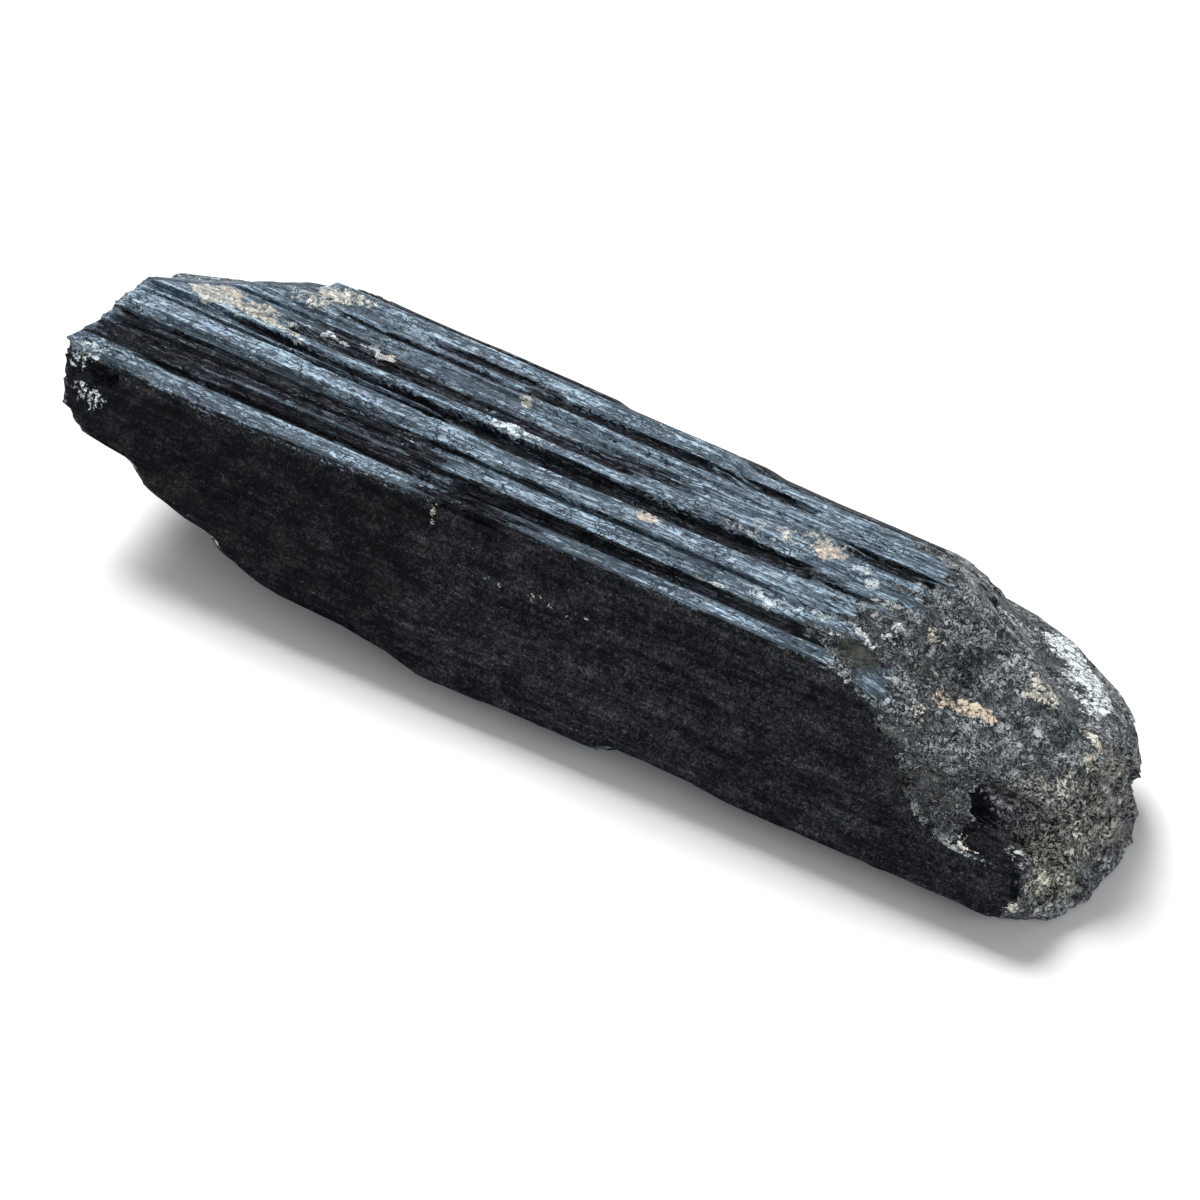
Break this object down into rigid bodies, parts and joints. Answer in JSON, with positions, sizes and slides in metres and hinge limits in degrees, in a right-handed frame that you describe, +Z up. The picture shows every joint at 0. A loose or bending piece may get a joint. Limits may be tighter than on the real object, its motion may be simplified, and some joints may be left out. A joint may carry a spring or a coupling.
{
  "type": "tourmaline crystal",
  "caption": "Black tourmaline prism with stepped, striated long faces, rough breaks at both ends and pale crust, lying on a flat long face",
  "frame": {"origin": "middle of the bounding box seen from above, on the plane that the crystal rests on", "axes": "+X along the crystal toward its blunt, slanting break, +Y toward the back, +Z up from the resting face"},
  "size_m": [0.1188, 0.034, 0.0293],
  "materials": {
    "black_tourmaline": "glossy black, finely striated along the length, with a cool sheen; duller on the weathered front face, and grey and grainy with cream, white and orange crust at the breaks"
  },
  "bodies": {
    "root": {"tourmaline_crystal": "black_tourmaline"}
  },
  "joints": []
}
